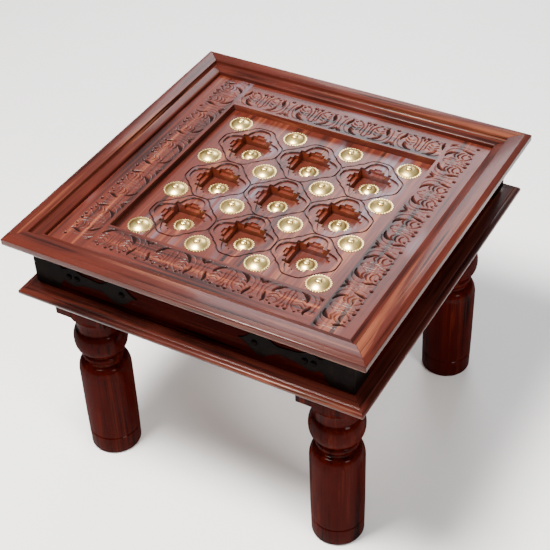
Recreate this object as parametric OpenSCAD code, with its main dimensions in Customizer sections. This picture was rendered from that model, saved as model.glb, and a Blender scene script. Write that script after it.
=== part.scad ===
// Low square carved table: a moulded frame and a carved border round a sunk panel that is set with
// brass domes, on a boxed apron with iron corner straps, a moulded ledge and four turned legs.
// Origin at the middle of the footprint, on the floor. +Z up, the front faces -Y.

/* [Table] */
// Outer width of the square top
top_w = 600; // [580:5:620]
// Height of the top frame's flat above the floor
table_h = 465; // [455:1:485]

/* [Top frame] */
// Width of a frame rail
frame_rail_w = 46; // [42:1:50]
// Thickness of a frame rail
frame_rail_h = 29; // [27:1:31]
// Width of the sloping outer edge
frame_bevel_w = 8; // [5:1:10]
// Width of the flat on top of a rail
frame_flat_w = 21; // [18:1:24]

/* [Carved border and panel] */
// Width of a border board
border_w = 69; // [64:1:74]
// Thickness of a border board
border_t = 12; // [10:1:14]
// Thickness of the carved panel
panel_t = 28; // [26:1:32]
// How far the panel reaches under the border boards
panel_lap = 20; // [10:1:30]
// Depth of a pocket's floor below the panel's face
pocket_depth = 19; // [15:1:20]
// Thickness of the backing board under the panel
backing_t = 8; // [6:1:10]

/* [Brass domes] */
// Distance from one large dome to the next
dome_pitch = 102; // [100:1:104]
// Distance from one pocket to the next, from left to right
pocket_pitch_x = 107; // [104:1:108]
// Distance from one pocket to the next, from front to back
pocket_pitch_y = 104; // [102:1:106]
// Outer radius of a large dome, over its teeth
large_dome_r = 20; // [19:0.5:22]
// Height of a large dome
large_dome_h = 6.5; // [5:0.5:8]
// Outer radius of a small dome, over its teeth
small_dome_r = 16.5; // [15:0.5:18]
// Height of a small dome
small_dome_h = 5.5; // [5:0.5:7]
// Thickness of the brass
brass_t = 0.9; // [0.6:0.1:1.2]

/* [Apron and ledge] */
// Outer width of the apron box
apron_w = 536; // [530:1:540]
// Thickness of an apron board
apron_t = 20; // [18:1:24]
// Height of the apron
apron_h = 70; // [66:1:74]
// Outer width of the lower ledge
ledge_w = 586; // [576:1:592]
// Width of a ledge rail
ledge_rail_w = 85; // [80:1:90]
// Thickness of a ledge rail
ledge_t = 20; // [18:1:24]

/* [Legs] */
// Distance of a leg's axis from the table's middle, along X and Y
leg_centre = 212; // [205:1:220]
// Radius of the leg's long cylinder
leg_r = 43; // [40:0.5:44]
// Width of the square head of a leg
leg_head_w = 90; // [88:1:94]
// Thickness of the felt pad under a leg
pad_t = 1.5; // [1:0.5:3]

/* [Iron straps] */
// Length of a strap's wing from the corner
strap_l = 184; // [170:1:190]
// Thickness of the iron
strap_t = 2; // [1.5:0.5:3]
// Radius of a stud's domed head
stud_r = 5; // [4:0.5:6]

/* [Hidden] */
SIDES = ["front", "right", "back", "left"];
CORNERS = ["front_right", "back_right", "back_left", "front_left"];
$fn = 64;

rosewood = [0.45, 0.20, 0.13];
dark_rosewood = [0.25, 0.08, 0.06];
plain_board = [0.62, 0.45, 0.28];
brass = [0.80, 0.68, 0.38];
iron = [0.10, 0.10, 0.10];
zinc = [0.65, 0.65, 0.67];
felt = [0.20, 0.16, 0.14];

// Distances from the table's middle to each outer or inner face
frame_out = top_w / 2;
frame_in = frame_out - frame_rail_w;
border_in = frame_in - border_w;
apron_out = apron_w / 2;
apron_in = apron_out - apron_t;
ledge_out = ledge_w / 2;
ledge_in = ledge_out - ledge_rail_w;
panel_out = border_in + panel_lap;

// Heights above the floor
frame_bottom = table_h - frame_rail_h;
border_top = frame_bottom + border_t;
panel_top = frame_bottom;
panel_bottom = panel_top - panel_t;
pocket_floor = panel_top - pocket_depth;
backing_bottom = panel_bottom - backing_t;
ledge_top = frame_bottom - apron_h;
ledge_bottom = ledge_top - ledge_t;
strap_mid = ledge_top + apron_h / 2;

// Sections of the turned leg, as heights above the floor
scribe_z = 36;
body_top = 168;
neck_z = 190;
bead_z = 203;
ball_z = 237;
ball_half_h = 24;
flare_z = 262;
head_bottom = 298;
neck_r = leg_r - 11;
ball_r = leg_r + 0.6;

// Pocket steps: half widths of the lobes' notches and how far each reaches from the middle
well_half = 26;
lobe_r = 19;
lobe_centre = 27;
lobe_depth = 2;
notch_half = 6.5;
notch_reach = 36.5;
notch_depth = 5.5;
step_half = 13.5;
step_reach = 32;
step_depth = 10;

// Domes: width of the flat rim, the teeth, and the round-headed nails that hold the domes
large_rim_w = 2.9;
large_teeth = 28;
large_tooth_h = 1.4;
small_rim_w = 3.4;
small_teeth = 22;
small_tooth_h = 2.4;
nail_r = 1.2;
nail_head_r = 5.2;
nail_head_h = 2.4;
nail_depth = 6;

// Fasteners
bolt_r = 4;
bolt_bottom = head_bottom - 22;
bolt_top = ledge_top + 31;
block_h = 20;
nut_r = 7.5;
nut_h = 8;
screw_r = 2;
screw_head_r = 4;
screw_spread = 120;
hole_clear = 0.15;
shank_r = 1.6;
shank_l = 12;
cleat_w = 20;
cleat_l = 300;
pad_r = 36;

stud_places = [62, 76, 156];

// Knots of the strap's outline: distance from the corner and half height there
strap_knots = [[0, 31], [40, 31], [53, 11], [69, 17], [92, 9], [118, 7], [150, 22], [strap_l, 1]];

function arc(cx, cy, rx, ry, from, to, steps) =
    [for (i = [0:steps]) let (a = from + (to - from) * i / steps) [cx + rx * cos(a), cy + ry * sin(a)]];

function ease(a, b, t) = a + (b - a) * (1 - cos(180 * t)) / 2;

function strap_half(s, i = 0) =
    i >= len(strap_knots) - 2 || s <= strap_knots[i + 1][0]
        ? ease(strap_knots[i][1], strap_knots[i + 1][1],
               (s - strap_knots[i][0]) / (strap_knots[i + 1][0] - strap_knots[i][0]))
        : strap_half(s, i + 1);

// Turns a piece drawn for the front to the side with this number
module on_side(side) {
    rotate([0, 0, 90 * side]) children();
}

// Moves a piece drawn at the origin to the corner with this number
module at_corner(corner) {
    rotate([0, 0, 90 * corner]) translate([leg_centre, -leg_centre, 0]) children();
}

// A rail along the front whose section is given as distance from the middle and height
module front_rail(section, length) {
    rotate([90, 0, 90])
        linear_extrude(height = length, center = true)
            polygon([for (p = section) [-p[0], p[1]]]);
}

// The same rail with both ends mitred at 45 degrees
module mitred_rail(section, out) {
    intersection() {
        front_rail(section, 2 * out);
        linear_extrude(height = table_h)
            polygon([[0, 0], [out, -out], [-out, -out]]);
    }
}

function frame_section() = concat(
    [[frame_in, frame_bottom], [apron_out + 4, frame_bottom]],
    arc(frame_out - 5, frame_bottom - 1, 24, 10, 165, 100, 5),
    arc(frame_out - 5, table_h - 13, 5, 5, -80, 0, 5),
    arc(frame_out - 5, table_h - 6, 5, 3, 0, 60, 4),
    [[frame_out - frame_bevel_w, table_h],
     [frame_out - frame_bevel_w - frame_flat_w, table_h]],
    arc(frame_out - frame_bevel_w - frame_flat_w - 4, table_h - 2, 3.5, 5.5, 0, -90, 5),
    [[frame_in + 3, table_h - 9.5], [frame_in + 0.8, table_h - 10.5], [frame_in, table_h - 12]]
);

module top_rail(side) {
    color(rosewood) on_side(side) mitred_rail(frame_section(), frame_out);
}

// The left and right boards run right through, and the front and back ones fit between them
module border_board(side) {
    half = side % 2 == 0 ? border_in : frame_in;
    color(rosewood)
        on_side(side)
            translate([-half, -frame_in, frame_bottom])
                cube([2 * half, border_w, border_t]);
}

// Outline of one pocket where it opens at the panel's face
module lobes() {
    for (quarter = [0:3])
        rotate(90 * quarter) translate([lobe_centre, 0]) circle(r = lobe_r);
    square(2 * well_half, center = true);
}

// A square cross of four arms
module cross_cut(half, reach, depth) {
    for (quarter = [0:1])
        rotate([0, 0, 90 * quarter])
            translate([-reach, -half, -depth]) cube([2 * reach, 2 * half, depth + 1]);
}

module pocket_cut() {
    translate([0, 0, -lobe_depth]) linear_extrude(height = lobe_depth + 1) lobes();
    cross_cut(notch_half, notch_reach, notch_depth);
    cross_cut(step_half, step_reach, step_depth);
    cross_cut(well_half, well_half, pocket_depth);
}

// Places what belongs to a large dome: its rim lies on the panel's face
module at_large(row, column) {
    translate([(column - 2.5) * dome_pitch, (2.5 - row) * dome_pitch, panel_top]) children();
}

// Places what belongs to a small dome: its rim lies on a pocket's floor
module at_small(row, column) {
    translate([(column - 2) * pocket_pitch_x, (2 - row) * pocket_pitch_y, pocket_floor]) children();
}

module nail_hole() {
    translate([0, 0, -nail_depth]) cylinder(r = nail_r + hole_clear, h = nail_depth + 1);
}

module carved_panel() {
    color(rosewood)
        difference() {
            translate([-panel_out, -panel_out, panel_bottom])
                cube([2 * panel_out, 2 * panel_out, panel_t]);
            for (row = [1:3], column = [1:3]) {
                at_small(row, column) translate([0, 0, pocket_depth]) pocket_cut();
                at_small(row, column) nail_hole();
            }
            for (row = [1:4], column = [1:4])
                at_large(row, column) nail_hole();
        }
}

// Frame of four battens round the panel, under the border boards
module support_battens() {
    batten_w = apron_in - panel_out;
    color(plain_board)
        for (side = [0:3]) {
            half = side % 2 == 0 ? panel_out : apron_in;
            on_side(side)
                translate([-half, -apron_in, panel_bottom])
                    cube([2 * half, batten_w, panel_t]);
        }
}

module backing_board() {
    color(plain_board)
        translate([-apron_in, -apron_in, backing_bottom])
            cube([2 * apron_in, 2 * apron_in, backing_t]);
}

// Cleats on the apron's inner faces that carry the backing board
module cleats() {
    color(plain_board)
        for (side = [0:3])
            on_side(side)
                translate([-cleat_l / 2, -apron_in, backing_bottom - cleat_w])
                    cube([cleat_l, cleat_w, cleat_w]);
}

module apron(side) {
    half = side % 2 == 0 ? apron_out : apron_in;
    color(dark_rosewood)
        on_side(side)
            difference() {
                translate([-half, -apron_out, ledge_top]) cube([2 * half, apron_t, apron_h]);
                for (end = [-1, 1], place = stud_places)
                    translate([end * (apron_out - place), -apron_out - 1, strap_mid])
                        rotate([-90, 0, 0]) cylinder(r = shank_r + hole_clear, h = shank_l + 2);
                for (place = [-1:1])
                    translate([place * screw_spread, -apron_out + apron_t / 2, ledge_top - 1])
                        cylinder(r = screw_r + hole_clear, h = ledge_t + 2);
            }
}

// Five-sided blocks that tie the apron's corners and take the legs' bolts
module corner_blocks() {
    reach = apron_in - 76;
    cut = apron_in - 36;
    color(plain_board)
        for (corner = [0:3])
            rotate([0, 0, 90 * corner])
                translate([0, 0, ledge_top])
                    linear_extrude(height = block_h)
                        difference() {
                            polygon([[apron_in, -apron_in], [apron_in, -reach], [cut, -reach],
                                     [reach, -cut], [reach, -apron_in]]);
                            translate([leg_centre, -leg_centre]) circle(r = bolt_r + hole_clear);
                        }
}

// One wing of a strap: it lies on the front face and runs from the right corner to the left
module strap_wing() {
    places = [for (s = [0:4:strap_l]) s];
    upper = [for (s = places) [apron_out - s, strap_mid + strap_half(s)]];
    lower = [for (i = [len(places) - 1:-1:0]) [apron_out - places[i], strap_mid - strap_half(places[i])]];
    difference() {
        translate([0, -apron_out, 0])
            rotate([90, 0, 0]) linear_extrude(height = strap_t) polygon(concat(upper, lower));
        for (place = stud_places)
            translate([apron_out - place, -apron_out - strap_t - 1, strap_mid])
                rotate([-90, 0, 0]) cylinder(r = shank_r + hole_clear, h = strap_t + 2);
    }
}

module corner_strap(corner) {
    half = strap_knots[0][1];
    color(iron)
        rotate([0, 0, 90 * corner]) {
            strap_wing();
            rotate([0, 0, 90]) mirror([1, 0, 0]) strap_wing();
            translate([apron_out, -apron_out - strap_t, strap_mid - half])
                cube([strap_t, strap_t, 2 * half]);
        }
}

// Domed studs, three on each wing, with their shanks in the apron
module strap_studs() {
    dome_h = 3;
    dome = concat([[0, 0]], arc(0, 0, stud_r, dome_h, 0, 90, 6));
    color(iron)
        for (side = [0:3], end = [-1, 1], place = stud_places)
            on_side(side)
                translate([end * (apron_out - place), -apron_out - strap_t, strap_mid])
                    rotate([90, 0, 0]) {
                        rotate_extrude() polygon(dome);
                        translate([0, 0, -shank_l]) cylinder(r = shank_r, h = shank_l + 0.5);
                    }
}

function ledge_section() = concat(
    [[ledge_in, ledge_bottom], [ledge_out - 18, ledge_bottom], [ledge_out - 12, ledge_bottom + 2]],
    arc(ledge_out - 6, ledge_bottom + 9, 6, 6, -90, 60, 8),
    [[ledge_out - 8, ledge_top - 5], [ledge_out - 9, ledge_top - 3.8], [apron_out + 2, ledge_top - 0.6],
     [apron_out, ledge_top], [ledge_in, ledge_top]]
);

module ledge_rail(side) {
    color(rosewood)
        difference() {
            on_side(side) mitred_rail(ledge_section(), ledge_out);
            on_side(side)
                for (place = [-1:1])
                    translate([place * screw_spread, -apron_out + apron_t / 2, ledge_bottom - 1])
                        cylinder(r = screw_r + hole_clear, h = ledge_t + 2);
            for (corner = [0:3])
                at_corner(corner)
                    translate([0, 0, ledge_bottom - 1])
                        cylinder(r = bolt_r + hole_clear, h = ledge_t + 2);
        }
}

// Pan-head screws that go up through the ledge into the apron
module ledge_screws() {
    head_h = 2;
    color(zinc)
        for (side = [0:3], place = [-1:1])
            on_side(side)
                translate([place * screw_spread, -apron_out + apron_t / 2, ledge_bottom]) {
                    translate([0, 0, -head_h]) cylinder(r = screw_head_r, h = head_h);
                    cylinder(r = screw_r, h = 2 * ledge_t);
                }
}

function leg_profile() = concat(
    [[0, pad_t], [leg_r - 3, pad_t], [leg_r - 1, pad_t + 2.5], [leg_r - 0.5, scribe_z - 1.2],
     [leg_r - 1.7, scribe_z], [leg_r - 0.5, scribe_z + 1.2]],
    arc(neck_r + 1, body_top, leg_r - neck_r - 1, neck_z - body_top, 0, 90, 8),
    [[neck_r - 1, neck_z + 2], [neck_r - 1, bead_z - 7]],
    arc(neck_r - 2.5, bead_z, 5, 6, -70, 70, 6),
    [[neck_r - 1, bead_z + 7.5]],
    arc(neck_r, ball_z, ball_r - neck_r, ball_half_h, -85, 70, 14),
    [[leg_r - 7.5, flare_z - 1]],
    arc(leg_head_w / 2, flare_z, 9, 28, 180, 95, 8),
    [[leg_head_w / 2, flare_z + 30], [leg_head_w / 2, head_bottom], [0, head_bottom]]
);

module leg(corner) {
    head_h = ledge_bottom - head_bottom;
    color(rosewood)
        at_corner(corner)
            difference() {
                union() {
                    rotate_extrude() polygon(leg_profile());
                    translate([-leg_head_w / 2, -leg_head_w / 2, head_bottom])
                        cube([leg_head_w, leg_head_w, head_h]);
                }
                translate([0, 0, bolt_bottom])
                    cylinder(r = bolt_r + hole_clear, h = ledge_bottom - bolt_bottom + 1);
            }
}

module hanger_bolts() {
    color(zinc)
        for (corner = [0:3])
            at_corner(corner) translate([0, 0, bolt_bottom]) cylinder(r = bolt_r, h = bolt_top - bolt_bottom);
}

module bolt_nuts() {
    color(zinc)
        for (corner = [0:3])
            at_corner(corner)
                translate([0, 0, ledge_top + block_h])
                    difference() {
                        cylinder(r = nut_r, h = nut_h, $fn = 6);
                        translate([0, 0, -1]) cylinder(r = bolt_r + hole_clear, h = nut_h + 2);
                    }
}

module felt_pads() {
    color(felt)
        for (corner = [0:3])
            at_corner(corner) cylinder(r = pad_r, h = pad_t);
}

// Flat ring with pointed teeth round its edge
module toothed_ring(r, teeth, tooth, hole_r) {
    count = 2 * teeth;
    linear_extrude(height = brass_t)
        difference() {
            polygon([for (i = [0:count - 1])
                let (reach = i % 2 == 0 ? r : r - tooth)
                [reach * cos(360 * i / count), reach * sin(360 * i / count)]]);
            circle(r = hole_r);
        }
}

// Radius of the ball that a cap of this base radius and height is cut from
function cap_ball(base_r, height) = (base_r * base_r + height * height) / (2 * height);

// Points of a cap's outline from its rim up to where it meets a hole in its crown
function cap_line(base_r, height, hole_r, steps) =
    let (ball = cap_ball(base_r, height), low = asin(base_r / ball), high = asin(hole_r / ball))
    [for (i = [0:steps])
        let (a = low + (high - low) * i / steps)
        [ball * sin(a), height - ball + ball * cos(a)]];

// Pressed brass shell: a flat toothed rim and a cap with a nail hole in its crown
module brass_dome(r, rim, height, teeth, tooth) {
    base_r = r - rim;
    hole_r = nail_r + hole_clear;
    outside = cap_line(base_r, height, hole_r, 8);
    inside = cap_line(base_r - brass_t, height - brass_t, hole_r, 8);
    color(brass) {
        rotate_extrude()
            polygon(concat([[base_r, brass_t]], [for (i = [1:8]) outside[i]],
                           [for (i = [8:-1:0]) inside[i]], [[base_r, 0]]));
        toothed_ring(r, teeth, tooth, base_r - brass_t / 2);
    }
}

module large_dome(row, column) {
    at_large(row, column)
        brass_dome(large_dome_r, large_rim_w, large_dome_h, large_teeth, large_tooth_h);
}

module small_dome(row, column) {
    at_small(row, column)
        brass_dome(small_dome_r, small_rim_w, small_dome_h, small_teeth, small_tooth_h);
}

// A round-headed nail whose head sits on a dome of this height
module dome_nail(height) {
    head = concat([[0, height]], arc(0, height, nail_head_r, nail_head_h, 0, 90, 6));
    rotate_extrude() polygon(head);
    translate([0, 0, 1 - nail_depth]) cylinder(r = nail_r, h = nail_depth + height - 0.5);
}

module dome_nails() {
    color(brass) {
        for (row = [1:4], column = [1:4])
            at_large(row, column) dome_nail(large_dome_h);
        for (row = [1:3], column = [1:3])
            at_small(row, column) dome_nail(small_dome_h);
    }
}

for (side = [0:3]) {
    top_rail(side);
    border_board(side);
    apron(side);
    ledge_rail(side);
}
for (corner = [0:3]) {
    corner_strap(corner);
    leg(corner);
}
for (row = [1:4], column = [1:4])
    large_dome(row, column);
for (row = [1:3], column = [1:3])
    small_dome(row, column);
carved_panel();
support_battens();
backing_board();
cleats();
corner_blocks();
strap_studs();
ledge_screws();
hanger_bolts();
bolt_nuts();
felt_pads();
dome_nails();
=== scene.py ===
"""Low square carved table with brass domes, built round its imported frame.

Lengths are in metres, except in the dataclasses that name their unit as millimetres. The table
stands on z = 0 with its front towards -Y. Sides count front, right, back, left.
"""

from __future__ import annotations

import logging
import math
import random
from collections.abc import Iterable, Iterator, Sequence
from contextlib import contextmanager
from dataclasses import dataclass, field
from enum import Enum
from typing import Any

import bpy
import numpy as np
from mathutils import Matrix, Vector

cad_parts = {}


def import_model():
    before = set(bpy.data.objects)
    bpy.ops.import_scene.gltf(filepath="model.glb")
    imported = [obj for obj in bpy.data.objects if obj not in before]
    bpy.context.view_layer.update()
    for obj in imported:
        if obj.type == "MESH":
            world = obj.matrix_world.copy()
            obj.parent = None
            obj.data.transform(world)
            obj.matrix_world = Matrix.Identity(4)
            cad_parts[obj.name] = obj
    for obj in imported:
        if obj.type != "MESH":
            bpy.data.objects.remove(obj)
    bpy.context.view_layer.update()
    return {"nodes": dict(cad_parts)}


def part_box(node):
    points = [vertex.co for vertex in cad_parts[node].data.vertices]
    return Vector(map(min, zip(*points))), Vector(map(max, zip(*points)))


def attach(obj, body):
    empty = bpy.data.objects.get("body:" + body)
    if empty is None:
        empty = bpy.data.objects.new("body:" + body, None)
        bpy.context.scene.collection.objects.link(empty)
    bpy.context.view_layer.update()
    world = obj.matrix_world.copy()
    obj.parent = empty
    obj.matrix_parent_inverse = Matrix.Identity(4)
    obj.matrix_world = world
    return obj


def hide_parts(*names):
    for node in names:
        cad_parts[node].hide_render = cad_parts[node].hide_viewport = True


LOG = logging.getLogger("table")
MM = 0.001
BODY = "root"

Colour = tuple[float, float, float]
Point = tuple[float, float]
# Three numbers: a place, a turn, or a point of a cut with its width.
Spot = tuple[float, float, float]
Solid = bpy.types.Object
Finish = bpy.types.Material


def quarter_turn(count: int) -> Matrix:
    """A turn about the table's middle by this many quarters."""
    return Matrix.Rotation(math.pi / 2 * count, 4, "Z")


class Side(Enum):
    """The four sides, by how many quarter turns they are from the front."""

    FRONT = 0
    RIGHT = 1
    BACK = 2
    LEFT = 3

    @property
    def word(self) -> str:
        """The side's name as the frame's nodes use it."""
        return self.name.lower()


class Grain(Enum):
    """The direction that a board's grain runs in, as the turn that brings it to X."""

    ALONG_X = (0.0, 0.0, 0.0)
    ALONG_Y = (0.0, 0.0, math.pi / 2)
    ALONG_Z = (0.0, math.pi / 2, 0.0)


NEARLY_BLACK: Colour = (0.0018, 0.0003, 0.0002)
CORNERS = ("front_right", "back_right", "back_left", "front_left")


def grain_of(side: Side) -> Grain:
    """The grain direction of a rail or board on this side."""
    return Grain.ALONG_X if side in (Side.FRONT, Side.BACK) else Grain.ALONG_Y


def seat_of(node: str) -> Vector:
    """The middle of the underside of one of the frame's nodes."""
    low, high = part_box(node)
    return Vector(((low.x + high.x) / 2, (low.y + high.y) / 2, low.z))


# ---------------------------------------------------------------------------------------------
# Shader maths
# ---------------------------------------------------------------------------------------------


class Wire:
    """A number socket that takes part in Python expressions."""

    def __init__(self, desk: ShaderDesk, socket: bpy.types.NodeSocket) -> None:
        """Wraps one socket.

        Args:
            desk: The shader desk that adds nodes to the same tree.
            socket: The output socket that carries the number.
        """
        self.desk = desk
        self.socket = socket

    def math(self, operation: str, *others: Wire | float, clamp: bool = False) -> Wire:
        """Adds one Math node with this value first.

        Args:
            operation: The node's operation.
            others: The values of its other inputs.
            clamp: Whether the result is held between 0 and 1.

        Returns:
            The node's result.
        """
        settings = {"operation": operation, "use_clamp": clamp}
        inputs = dict(enumerate((self, *others)))
        return self.desk.node("ShaderNodeMath", settings, inputs).value(0)

    def __add__(self, other: Wire | float) -> Wire:
        """Sum."""
        return self.math("ADD", other)

    __radd__ = __add__

    def __mul__(self, other: Wire | float) -> Wire:
        """Product."""
        return self.math("MULTIPLY", other)

    __rmul__ = __mul__

    def __sub__(self, other: Wire | float) -> Wire:
        """Difference."""
        return self.math("SUBTRACT", other)

    def __rsub__(self, other: float) -> Wire:
        """Difference from a plain number."""
        return self.math("MULTIPLY", -1.0) + other

    def held(self) -> Wire:
        """The value held between 0 and 1."""
        return self.math("ADD", 0.0, clamp=True)

    def between(self, low: float, high: float) -> Wire:
        """A smooth step from 0 at low to 1 at high."""
        settings = {"interpolation_type": "SMOOTHSTEP"}
        inputs = {"Value": self, "From Min": low, "From Max": high}
        return self.desk.node("ShaderNodeMapRange", settings, inputs).value("Result")


class Station:
    """A node on the desk whose outputs can be taken as wires."""

    def __init__(self, desk: ShaderDesk, node: bpy.types.Node) -> None:
        """Keeps the node with the desk that made it."""
        self.desk = desk
        self.node = node

    def value(self, output: str | int) -> Wire:
        """The named output as a wire."""
        return Wire(self.desk, self.node.outputs[output])


class ShaderDesk:
    """One material's node tree, with a Principled shader ready to be fed."""

    def __init__(self, name: str) -> None:
        """Starts an empty material.

        Args:
            name: The material's name.
        """
        self.material = bpy.data.materials.new(name)
        self.material.use_nodes = True
        self.tree = self.material.node_tree
        self.tree.nodes.clear()
        self.surface = self.tree.nodes.new("ShaderNodeBsdfPrincipled")
        output = self.tree.nodes.new("ShaderNodeOutputMaterial")
        self.tree.links.new(self.surface.outputs["BSDF"], output.inputs["Surface"])

    def feed(self, socket: bpy.types.NodeSocket, value: Any) -> None:
        """Links a wire to a socket, or sets its plain value.

        Args:
            socket: The input socket.
            value: A wire, a number, a colour or a vector.
        """
        if isinstance(value, Wire):
            self.tree.links.new(value.socket, socket)
        elif isinstance(value, (int, float)):
            socket.default_value = float(value)
        else:
            wanted = len(socket.default_value)
            socket.default_value = (*value, 1.0)[:wanted]

    def node(self, kind: str, settings: dict[str, Any], inputs: dict[Any, Any]) -> Station:
        """Adds any node.

        Args:
            kind: The node's type.
            settings: Its settings, set first. "stops" holds a ramp's places and colours.
            inputs: The values or wires of its sockets, by name or number.

        Returns:
            The node.
        """
        node = self.tree.nodes.new(kind)
        for key, setting in settings.items():
            if key == "stops":
                self._set_stops(node, setting)
            else:
                setattr(node, key, setting)
        for key, value in inputs.items():
            self.feed(node.inputs[key], value)
        return Station(self, node)

    @staticmethod
    def _set_stops(node: bpy.types.Node, stops: Sequence[tuple[float, Colour]]) -> None:
        """Gives a colour ramp its stops.

        Args:
            node: The ramp.
            stops: Each stop's place and colour, from low to high.
        """
        elements = node.color_ramp.elements
        while len(elements) < len(stops):
            elements.new(0.5)
        for element, (place, colour) in zip(elements, stops):
            element.position = place
            element.color = (*colour, 1.0)

    def place(self) -> Wire:
        """The surface point's object coordinates."""
        return self.node("ShaderNodeTexCoord", {}, {}).value("Object")

    def mapped(self, place: Wire, turn: Sequence[float], scale: Sequence[float]) -> Wire:
        """Turns, then stretches a place.

        Args:
            place: The place to map.
            turn: Turn about each axis.
            scale: Stretch along each axis after the turn.

        Returns:
            The mapped place.
        """
        turned = self.node("ShaderNodeMapping", {"vector_type": "POINT"},
                           {"Vector": place, "Rotation": turn}).value("Vector")
        return self.node("ShaderNodeMapping", {"vector_type": "POINT"},
                         {"Vector": turned, "Scale": scale}).value("Vector")

    def noise(self, place: Wire, scale: float, detail: float = 3.0, rough: float = 0.5,
              warp: float = 0.0) -> Wire:
        """Noise at a place.

        Args:
            place: Where the noise is read.
            scale: Its scale.
            detail: Its number of octaves.
            rough: How strong the finer octaves are.
            warp: How far it is distorted.

        Returns:
            A number round 0.5.
        """
        inputs = {"Vector": place, "Scale": scale, "Detail": detail, "Roughness": rough,
                  "Distortion": warp}
        return self.node("ShaderNodeTexNoise", {"noise_dimensions": "3D"}, inputs).value(0)

    def axis(self, place: Wire, letter: str) -> Wire:
        """One coordinate of a place."""
        return self.node("ShaderNodeSeparateXYZ", {}, {0: place}).value(letter)

    def attribute(self, name: str) -> Wire:
        """A number stored on the mesh."""
        return self.node("ShaderNodeAttribute", {"attribute_name": name}, {}).value("Fac")

    def ramp(self, value: Wire, stops: Sequence[tuple[float, Colour]]) -> Wire:
        """A colour looked up by a number."""
        return self.node("ShaderNodeValToRGB", {"stops": stops}, {"Fac": value}).value("Color")

    def mix(self, share: Wire | float, first: Any, second: Any, blend: str = "MIX") -> Wire:
        """Mixes two colours.

        Args:
            share: How much of the second colour shows.
            first: The first colour or wire.
            second: The second colour or wire.
            blend: How the second is laid on the first.

        Returns:
            The mixed colour.
        """
        settings = {"data_type": "RGBA", "blend_type": blend}
        station = self.node("ShaderNodeMix", settings, {0: share, 6: first, 7: second})
        return station.value(2)

    def bump(self, height: Wire, distance: float, strength: float = 1.0,
             below: Wire | None = None) -> Wire:
        """A bumped normal.

        Args:
            height: The height as a number.
            distance: What a height of 1 stands for, in metres.
            strength: How much of the bump shows.
            below: A bumped normal that this one is laid on.

        Returns:
            The normal.
        """
        inputs: dict[Any, Any] = {"Height": height, "Distance": distance, "Strength": strength}
        if below is not None:
            inputs["Normal"] = below
        return self.node("ShaderNodeBump", {}, inputs).value("Normal")

    def finish(self, **sockets: Any) -> Finish:
        """Feeds the Principled shader.

        Args:
            sockets: Values by socket name, with _ for a space.

        Returns:
            The finished material.
        """
        for name, value in sockets.items():
            self.feed(self.surface.inputs[name.replace("_", " ")], value)
        return self.material


# ---------------------------------------------------------------------------------------------
# Finishes
# ---------------------------------------------------------------------------------------------


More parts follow.
